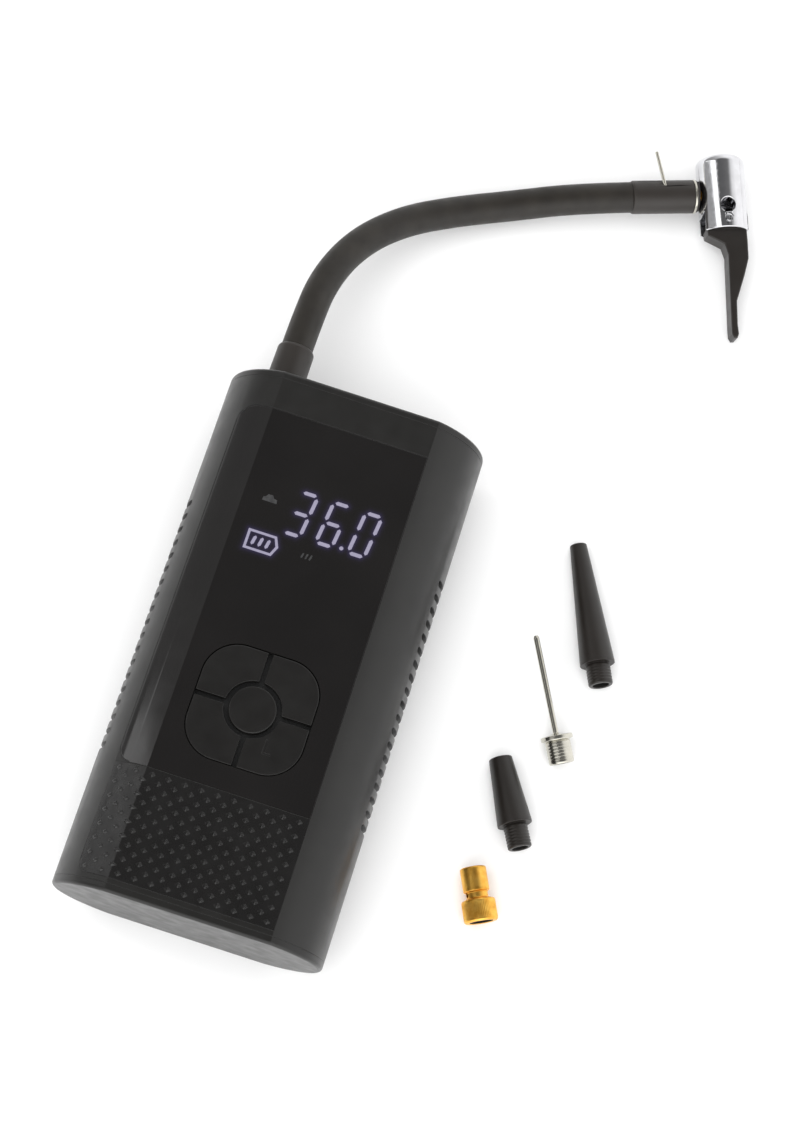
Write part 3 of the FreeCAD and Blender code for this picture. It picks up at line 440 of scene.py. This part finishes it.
def applied(piece):
    """The piece's modifiers become its mesh."""
    scene_graph = bpy.context.evaluated_depsgraph_get()
    finished = bpy.data.meshes.new_from_object(piece.evaluated_get(scene_graph))
    piece.modifiers.clear()
    piece.data = finished


def dressed(piece, node):
    """Gives a piece the body, slot and finish of the CAD node that it stands for, and a near-black
    finish for the bores of turned pieces: painted shade inside the holes."""
    marks = [face.material_index for face in piece.data.polygons]
    piece.data.materials.clear()
    piece.data.materials.append(FINISHES[SLOT_OF[node]])
    if any(marks):
        piece.data.materials.append(BORE_PAINTED_SHADE)
        piece.data.polygons.foreach_set("material_index", marks)
    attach(piece, BODY_OF[node])
    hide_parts(node)


ROUNDED_EDGES = {            # millimetres
    "front_shell": 0.12, "back_shell": 0.2, "top_cap": 0.12, "bottom_cap": 0.12,
    "front_panel": 0.22, "grip_pad": 0.1,
    "upper_left_button": 0.12, "upper_right_button": 0.12, "lower_left_button": 0.12,
    "lower_right_button": 0.12, "centre_button": 0.12,
    "hose_collar": 0.3, "crimp_sleeve": 0.25, "sleeve_ring": 0.15, "chuck_barrel": 0.3,
    "lever_pin": 0.2, "chuck_lever": 0.1, "clip_pin": 0.25,
}
for node_name, edge_radius in ROUNDED_EDGES.items():
    refined(node_name, edge_radius)

# ---- display --------------------------------------------------------------------------------
PAINTED_GLOW_GRID = 0.45 * MM
PAINTED_GLOW_REACH = 0.62 * MM


def add_window():
    """The window's own shape, cut into a fine grid that carries the painted glow around the lamps.
    """
    points, faces, _ = welded(frame["nodes"]["display_window"].data)
    mesh = bpy.data.meshes.new("smoked_window_painted_glow")
    mesh.from_pydata(points, [], faces)
    form = bmesh.new()
    form.from_mesh(mesh)
    low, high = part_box("display_window")
    for axis in (0, 1):
        across = Vector((1, 0, 0)) if axis == 0 else Vector((0, 1, 0))
        count = int((high[axis] - low[axis]) / PAINTED_GLOW_GRID)
        for step in range(1, count):
            place = across * (low[axis] + step * (high[axis] - low[axis]) / count)
            bmesh.ops.bisect_plane(form, geom=form.verts[:] + form.edges[:] + form.faces[:],
                                   plane_co=place, plane_no=across)
    lit = [BVHTree.FromPolygons([v.co for v in frame["nodes"][name].data.vertices],
                                [p.vertices[:] for p in frame["nodes"][name].data.polygons])
           for name in ("display_digits", "display_battery_icon")]
    painted_glow = form.verts.layers.float.new("painted_glow")
    for vertex in form.verts:
        gap = min(tree.find_nearest(vertex.co)[3] for tree in lit)
        # painted glow around the lamps, fading with the distance from the nearest lit bar
        vertex[painted_glow] = math.exp(-(gap / PAINTED_GLOW_REACH) ** 1.2)
    form.to_mesh(mesh)
    form.free()
    window = bpy.data.objects.new("smoked_window_painted_glow", mesh)
    bpy.context.collection.objects.link(window)
    dressed(window, "display_window")


add_window()


# ---- turned pieces --------------------------------------------------------------------------
def softened(profile, radius):
    """Closed outline with each corner rounded, by less where its sides are short."""
    count = len(profile)
    outline = []
    for index in range(count):
        before = Vector(profile[index - 1])
        corner = Vector(profile[index])
        after = Vector(profile[(index + 1) % count])
        if corner.y < 1e-9:
            outline.append(corner)
            continue
        reach_in = min(radius, 0.4 * (before - corner).length)
        reach_out = min(radius, 0.4 * (after - corner).length)
        first = corner + (before - corner).normalized() * reach_in
        last = corner + (after - corner).normalized() * reach_out
        for share in (0.0, 0.25, 0.5, 0.75, 1.0):
            outline.append(first * (1 - share) ** 2 + corner * 2 * share * (1 - share)
                           + last * share ** 2)
    return outline


def divided(outline, zone, pitch):
    """The outline with points pitch apart on its outer line inside a zone of distances."""
    result = []
    for index, point in enumerate(outline):
        result.append(point)
        after = outline[(index + 1) % len(outline)]
        run = after.x - point.x
        if run > 2 * pitch and point.x >= zone[0] - pitch and after.x <= zone[1] + pitch:
            count = int(run / pitch)
            result += [point.lerp(after, step / count) for step in range(1, count)]
    return result


def turned(name, outline, around, relief, bore_r):
    """Solid of revolution of (distance, radius) points.  relief(distance, radius, angle) adds to
    a radius, and faces of a bore narrower than bore_r past the tip get the second finish, painted
    shade."""
    form = bmesh.new()
    rings = []
    for s, r in outline:
        if r < 1e-9:
            rings.append([form.verts.new((0, 0, s * MM))] * around)
            continue
        ring = []
        for step in range(around):
            angle = 2 * math.pi * step / around
            reach = (r + relief(s, r, angle)) * MM
            ring.append(form.verts.new((reach * math.cos(angle), reach * math.sin(angle), s * MM)))
        rings.append(ring)
    for index, ring in enumerate(rings):
        following = rings[(index + 1) % len(rings)]
        for step in range(around):
            after = (step + 1) % around
            corners = [ring[step], ring[after], following[after], following[step]]
            corners = list(dict.fromkeys(corners))
            if len(corners) > 2:
                face = form.faces.new(corners)
                inside = max(r for _, r in (outline[index], outline[(index + 1) % len(outline)]))
                # faces of a narrow bore get the second finish, the painted shade
                face.material_index = 1 if inside < bore_r and index > len(outline) / 2 else 0
    bmesh.ops.recalc_face_normals(form, faces=form.faces)
    for face in form.faces:
        face.smooth = True
    mesh = bpy.data.meshes.new(name)
    form.to_mesh(mesh)
    form.free()
    piece = bpy.data.objects.new(name, mesh)
    bpy.context.collection.objects.link(piece)
    return piece


def thread(start, end, crest_r, depth):
    """Relief of a helical thread cut into a stub of radius crest_r."""
    def relief(s, r, angle):
        if not start < s < end or r < crest_r - 0.05:
            return 0.0
        phase = (s / THREAD_PITCH - angle / (2 * math.pi)) % 1.0
        crest = 1 - abs(2 * phase - 1)
        shape = min(1.0, max(0.0, (crest - 0.2) / 0.5))
        run_out = min(1.0, (s - start) / THREAD_PITCH, (end - s) / THREAD_PITCH)
        return -depth * (1 - shape) * run_out
    return relief


def ridges(start, end, count, crest_r, depth):
    """Relief of straight knurling around a band of radius crest_r."""
    def relief(s, r, angle):
        if not start < s < end or r < crest_r - 0.25:
            return 0.0
        phase = (angle * count / (2 * math.pi)) % 1.0
        run_out = min(1.0, (s - start) / 0.4, (end - s) / 0.4)
        return -depth * abs(2 * phase - 1) * run_out
    return relief


FLOOR_GAP = 0.02


def laid(piece, tip, end, rest_r0, rest_s0, rest_r1, rest_s1):
    """Lays a turned piece on the floor on its rims rest_r0 at rest_s0 and rest_r1 at rest_s1."""
    tilt = math.atan2(rest_r1 - rest_r0, rest_s1 - rest_s0)
    flat = Vector((end[0] - tip[0], end[1] - tip[1], 0)).normalized()
    way = flat * math.cos(tilt) + Vector((0, 0, math.sin(tilt)))
    start_z = rest_r0 * math.cos(tilt) - rest_s0 * math.sin(tilt)
    place = Matrix.Translation(Vector((tip[0], tip[1], start_z + FLOOR_GAP)) * MM)
    turn = Vector((0, 0, 1)).rotation_difference(way).to_matrix().to_4x4()
    piece.data.transform(place @ turn)


DRILL_REACH = 8 * MM
DRILL_SIDES = 32


def drilled(piece, place, way, r):
    """Cuts a round hole from place on the axis of a piece out through its wall."""
    form = bmesh.new()
    bmesh.ops.create_cone(form, cap_ends=True, segments=DRILL_SIDES, radius1=r, radius2=r,
                          depth=DRILL_REACH)
    mesh = bpy.data.meshes.new("drill")
    form.to_mesh(mesh)
    form.free()
    drill = bpy.data.objects.new("drill", mesh)
    drill.rotation_mode = "QUATERNION"
    drill.rotation_quaternion = way.to_track_quat("Z", "Y")
    drill.location = place + way.normalized() * DRILL_REACH / 2
    bpy.context.collection.objects.link(drill)
    cut = piece.modifiers.new("drilled", "BOOLEAN")
    cut.operation = "DIFFERENCE"
    cut.solver = "EXACT"
    cut.object = drill
    bpy.context.view_layer.update()
    applied(piece)
    bpy.data.objects.remove(drill)


THREAD_PITCH = 1.0
CONE_SIDES = 96
BORE_OF_CONES = 2.65
NEEDLE_BORE = 2.6
ADAPTER_SIDES = 240
ADAPTER_BORE = 3.75
SIDE_HOLE_PLACE = Vector((80.9, -44.8, 5.3)) * MM
SIDE_HOLE_WAY = Vector((-0.8481, -0.4146, 0.3298))
SIDE_HOLE_R = 0.8 * MM


def add_cones():
    """The two tapered nozzles with a threaded stub each."""
    long_shape = [(0, 1.3), (0, 2.75), (40.4, 5.6), (41.0, 5.6), (41.0, 3.6), (41.6, 3.95),
                  (47.5, 3.95), (48.0, 3.6), (48.0, 2.6), (41, 2.6), (37, 1.3)]
    outline = divided(softened(long_shape, 0.35), (41.8, 47.3), 0.13)
    cone = turned("long_cone", outline, CONE_SIDES, thread(41.8, 47.3, 3.95, 0.13), BORE_OF_CONES)
    laid(cone, (80.1, 74.8), (99.5, 31.2), 2.75, 0.0, 5.6, 40.4)
    dressed(cone, "long_cone_nozzle")
    short_shape = [(0, 1.6), (0, 3.7), (21.2, 5.5), (21.9, 5.5), (21.9, 3.4), (22.5, 3.8),
                   (29.1, 3.8), (29.5, 3.4), (29.5, 2.5), (23, 2.5), (18, 1.6)]
    outline = divided(softened(short_shape, 0.4), (22.7, 29.0), 0.13)
    cone = turned("short_cone", outline, CONE_SIDES, thread(22.7, 29.0, 3.8, 0.13), BORE_OF_CONES)
    laid(cone, (75.8, -1.1), (90.2, -28.3), 3.7, 0.0, 5.5, 21.2)
    dressed(cone, "short_cone_nozzle")


def add_needle():
    """Ball needle: thin tube with a rounded tip, flange and threaded body."""
    shape = [(0, 0), (0.05, 0.62), (0.9, 0.95), (31.6, 0.95), (32.0, 2.6), (32.4, 5.1),
             (33.7, 5.1), (34.2, 3.8), (34.5, 4.05), (40.9, 4.05), (41.4, 3.75), (41.4, 2.4),
             (37, 2.4), (37, 0)]
    outline = divided(softened(shape, 0.25), (34.7, 40.8), 0.12)
    needle = turned("needle", outline, CONE_SIDES, thread(34.7, 40.8, 4.05, 0.07), NEEDLE_BORE)
    laid(needle, (74.85, 39.1), (94.9, 3.3), 5.1, 33.7, 4.05, 40.9)
    dressed(needle, "ball_needle")


def add_adapter():
    """Brass valve adapter: plain head, grooved neck and a knurled base."""
    shape = [(0, 2.6), (0, 3.75), (0.4, 4.1), (7.4, 4.1), (7.9, 3.4), (9.6, 3.4), (10.2, 5.1),
             (10.6, 5.3), (16.5, 5.3), (17.0, 4.9), (17.0, 3.7), (11, 3.7), (10, 2.6)]
    outline = divided(softened(shape, 0.2), (10.6, 16.5), 0.2)
    adapter = turned("valve_adapter", outline, ADAPTER_SIDES,
                     ridges(10.8, 16.3, 60, 5.3, 0.1), ADAPTER_BORE)
    laid(adapter, (77.2, -37.2), (84.6, -52.4), 5.3, 10.6, 5.3, 16.5)
    drilled(adapter, SIDE_HOLE_PLACE, SIDE_HOLE_WAY, SIDE_HOLE_R)
    dressed(adapter, "presta_adapter")


add_cones()
add_needle()
add_adapter()

# ---- floor and light --------------------------------------------------------------------------
FLOOR_SIZE = 16.0


def add_floor():
    """Wide pale floor with a faint unevenness in its tone."""
    mesh = bpy.data.meshes.new("floor")
    half = FLOOR_SIZE / 2
    mesh.from_pydata([(-half, -half, 0), (half, -half, 0), (half, half, 0), (-half, half, 0)],
                     [], [(0, 1, 2, 3)])
    floor = bpy.data.objects.new("floor", mesh)
    bpy.context.collection.objects.link(floor)
    finish = Finish("pale_floor", (0.9, 0.9, 0.9), 0.7, Specular_IOR_Level=0.25)
    finish.tint(finish.noise(400, 2), (0.895, 0.895, 0.895), (0.915, 0.915, 0.915))
    mesh.materials.append(finish.material)


WALL_LIGHT = 1.35
LEFT_WALL_LIGHT = 0.42
FRONT_WALL_GAIN = 1.6
FLOOR_LEVEL = (1.0, 1.0, 1.0, 1)
CEILING_LEVEL = (0.11, 0.11, 0.112, 1)
LEVELS_BETWEEN = ((0.55, 0.95), (0.78, 0.72), (0.90, 0.16))     # height, brightness


def add_surroundings():
    """Bright walls with a dark ceiling, as in a light tent: dim on the left, bright in front."""
    world = bpy.data.worlds.new("surroundings")
    bpy.context.scene.world = world
    world.use_nodes = True
    nodes = world.node_tree.nodes
    links = world.node_tree.links
    direction = nodes.new("ShaderNodeTexCoord")
    parts = nodes.new("ShaderNodeSeparateXYZ")
    links.new(direction.outputs["Generated"], parts.inputs["Vector"])
    height = nodes.new("ShaderNodeValToRGB")
    height.color_ramp.elements[0].color = FLOOR_LEVEL
    height.color_ramp.elements[1].color = CEILING_LEVEL
    for position, level in LEVELS_BETWEEN:
        element = height.color_ramp.elements.new(position)
        element.color = (level, level, level, 1)
    links.new(parts.outputs["Z"], height.inputs["Fac"])
    both = nodes.new("ShaderNodeMath")
    both.operation = "MULTIPLY"
    walls = (("X", -0.9, 0.1, LEFT_WALL_LIGHT, WALL_LIGHT), ("Y", -0.9, -0.3, FRONT_WALL_GAIN, 1.0))
    for row, (axis, low, high, at_low, at_high) in enumerate(walls):
        share = nodes.new("ShaderNodeMapRange")
        share.interpolation_type = "SMOOTHSTEP"
        share.inputs["From Min"].default_value = low
        share.inputs["From Max"].default_value = high
        share.inputs["To Min"].default_value = at_low
        share.inputs["To Max"].default_value = at_high
        links.new(parts.outputs[axis], share.inputs["Value"])
        links.new(share.outputs["Result"], both.inputs[row])
    links.new(height.outputs["Color"], nodes["Background"].inputs["Color"])
    links.new(both.outputs["Value"], nodes["Background"].inputs["Strength"])


def add_softbox(name, place, target, size, watts, mirrored):
    """Rectangular light; mirrored says whether polished surfaces show it."""
    data = bpy.data.lights.new(name, "AREA")
    data.shape = "RECTANGLE"
    data.size, data.size_y = size
    data.energy = watts
    softbox = bpy.data.objects.new(name, data)
    softbox.location = place
    softbox.rotation_mode = "QUATERNION"
    softbox.rotation_quaternion = (Vector(target) - Vector(place)).to_track_quat("-Z", "Y")
    softbox.visible_glossy = mirrored
    bpy.context.collection.objects.link(softbox)


add_floor()
add_surroundings()
add_softbox("overhead_softbox", (-0.35, -0.3, 1.4), (0.03, 0.03, 0), (2.0, 2.0), 26.0, False)
add_softbox("left_strip", (-1.25, 0.2, 1.0), (0, 0.05, 0), (0.16, 1.8), 1.6, True)
bpy.context.scene.view_settings.view_transform = "Standard"

bpy.context.view_layer.update()
